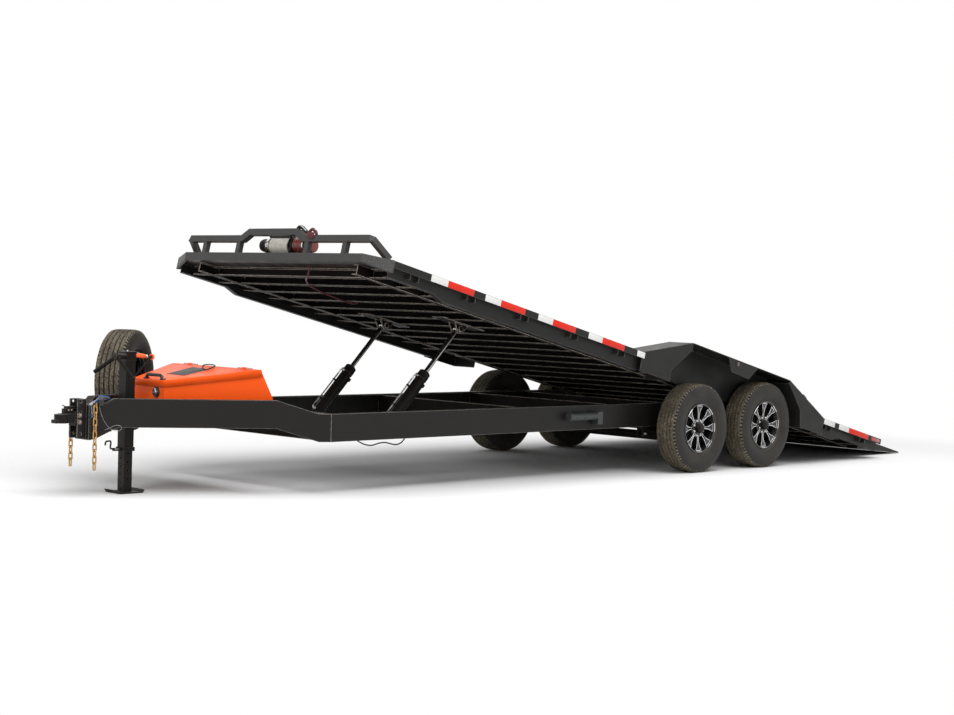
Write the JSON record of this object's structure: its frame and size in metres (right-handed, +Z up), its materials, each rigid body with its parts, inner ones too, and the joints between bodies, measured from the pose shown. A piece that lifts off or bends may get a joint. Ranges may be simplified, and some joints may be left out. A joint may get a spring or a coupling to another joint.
{
  "type": "tilt trailer",
  "caption": "Tandem-axle ball-hitch power-tilt trailer, deck raised by cylinders with its knife-edge tail on the ground, drive-over fenders, toolbox and winch.",
  "frame": {"origin": "on the floor under the middle of the bounding box", "axes": "+X forward to the coupler, +Y left, +Z up; deck raised with its tail on the ground"},
  "size_m": [9.3532, 2.591, 1.9534],
  "materials": {
    "black_paint": "satin powder coat",
    "orange_paint": "gloss",
    "wheel_black": "gloss black with machined faces",
    "tyre": "dusty matte",
    "rod_chrome": "polished",
    "deck_wood": "rough sawn",
    "zinc_steel": "yellow zinc",
    "bare_steel": "satin",
    "black_plastic": "matte",
    "cord_rubber": "matte"
  },
  "bodies": {
    "chassis": {"breakaway_cable": "bare_steel", "breakaway_switch": "black_plastic", "coupler": "black_paint", "coupler_channel": "black_paint", "cylinder_crossmember": "black_paint", "document_tube": "black_plastic", "frame_crossmembers": "black_paint", "front_axle": "black_paint", "hydraulic_hose": "cord_rubber", "jack_crank": "black_paint", "jack_leg": "black_paint", "jack_tube": "black_paint", "leaf_springs": "black_paint", "left_frame_rail": "black_paint", "left_tongue_member": "black_paint", "pivot_pins": "bare_steel", "rear_axle": "black_paint", "right_frame_rail": "black_paint", "right_tongue_member": "black_paint", "safety_chains": "zinc_steel", "spare_carrier": "black_paint", "spare_tyre": "tyre", "spare_wheel": "wheel_black", "spring_hangers": "black_paint", "tongue_nose": "black_paint", "toolbox_body": "orange_paint", "toolbox_supports": "black_paint"},
    "toolbox_lid": {"toolbox_lid": "orange_paint"},
    "deck": {"deck_crossmembers": "black_paint", "deck_floor": "deck_wood", "deck_front_beam": "black_paint", "deck_tail": "black_paint", "left_deck_beam": "black_paint", "left_fender": "black_paint", "left_rub_bar": "black_paint", "left_side_rail": "black_paint", "left_stake_plates": "black_paint", "right_deck_beam": "black_paint", "right_fender": "black_paint", "right_rub_bar": "black_paint", "right_side_rail": "black_paint", "right_stake_plates": "black_paint", "pivot_ears": "black_paint", "lift_brackets": "black_paint", "headache_rail": "black_paint", "winch": "black_paint", "winch_drum": "bare_steel", "winch_lead": "cord_rubber"},
    "left_cylinder_barrel": {"left_cylinder_barrel": "black_paint"},
    "left_cylinder_rod": {"left_cylinder_rod": "rod_chrome"},
    "left_front_wheel": {"left_front_tyre": "tyre", "left_front_wheel": "wheel_black"},
    "left_rear_wheel": {"left_rear_tyre": "tyre", "left_rear_wheel": "wheel_black"},
    "right_cylinder_barrel": {"right_cylinder_barrel": "black_paint"},
    "right_cylinder_rod": {"right_cylinder_rod": "rod_chrome"},
    "right_front_wheel": {"right_front_tyre": "tyre", "right_front_wheel": "wheel_black"},
    "right_rear_wheel": {"right_rear_tyre": "tyre", "right_rear_wheel": "wheel_black"}
  },
  "joints": [
    {"name": "deck_tilt", "type": "hinge", "parent": "chassis", "child": "deck", "pos_m": [-1.6024, 0, 0.5], "axis": [0, 1, 0], "range_deg": [0, 13]},
    {"name": "left_barrel_swing", "type": "hinge", "parent": "chassis", "child": "left_cylinder_barrel", "pos_m": [1.9446, 0.443, 0.45], "axis": [0, -1, 0], "range_deg": [0, 35.73]},
    {"name": "left_rod_slide", "type": "slide", "parent": "left_cylinder_barrel", "child": "left_cylinder_rod", "axis": [0.7021, 0, -0.712], "range_m": [0, 0.39685]},
    {"name": "right_barrel_swing", "type": "hinge", "parent": "chassis", "child": "right_cylinder_barrel", "pos_m": [1.9446, -0.443, 0.45], "axis": [0, -1, 0], "range_deg": [0, 35.73]},
    {"name": "right_rod_slide", "type": "slide", "parent": "right_cylinder_barrel", "child": "right_cylinder_rod", "axis": [0.7021, 0, -0.712], "range_m": [0, 0.39685]},
    {"name": "toolbox_lid_hinge", "type": "hinge", "parent": "chassis", "child": "toolbox_lid", "pos_m": [3.2726, 0, 0.8967], "axis": [0, -1, 0], "range_deg": [0, 75]},
    {"name": "left_front_wheel_spin", "type": "hinge", "parent": "chassis", "child": "left_front_wheel", "pos_m": [-1.0314, 1.1625, 0.388], "axis": [0, 1, 0], "continuous": true},
    {"name": "left_rear_wheel_spin", "type": "hinge", "parent": "chassis", "child": "left_rear_wheel", "pos_m": [-1.9994, 1.1625, 0.388], "axis": [0, 1, 0], "continuous": true},
    {"name": "right_front_wheel_spin", "type": "hinge", "parent": "chassis", "child": "right_front_wheel", "pos_m": [-1.0314, -1.1625, 0.388], "axis": [0, 1, 0], "continuous": true},
    {"name": "right_rear_wheel_spin", "type": "hinge", "parent": "chassis", "child": "right_rear_wheel", "pos_m": [-1.9994, -1.1625, 0.388], "axis": [0, 1, 0], "continuous": true}
  ],
  "couplings": [
    {"joint": "left_barrel_swing", "follows": "deck_tilt", "ratio": 2.747},
    {"joint": "left_rod_slide", "follows": "deck_tilt", "m_per_rad": 1.7482},
    {"joint": "right_barrel_swing", "follows": "deck_tilt", "ratio": 2.747},
    {"joint": "right_rod_slide", "follows": "deck_tilt", "m_per_rad": 1.7482}
  ]
}
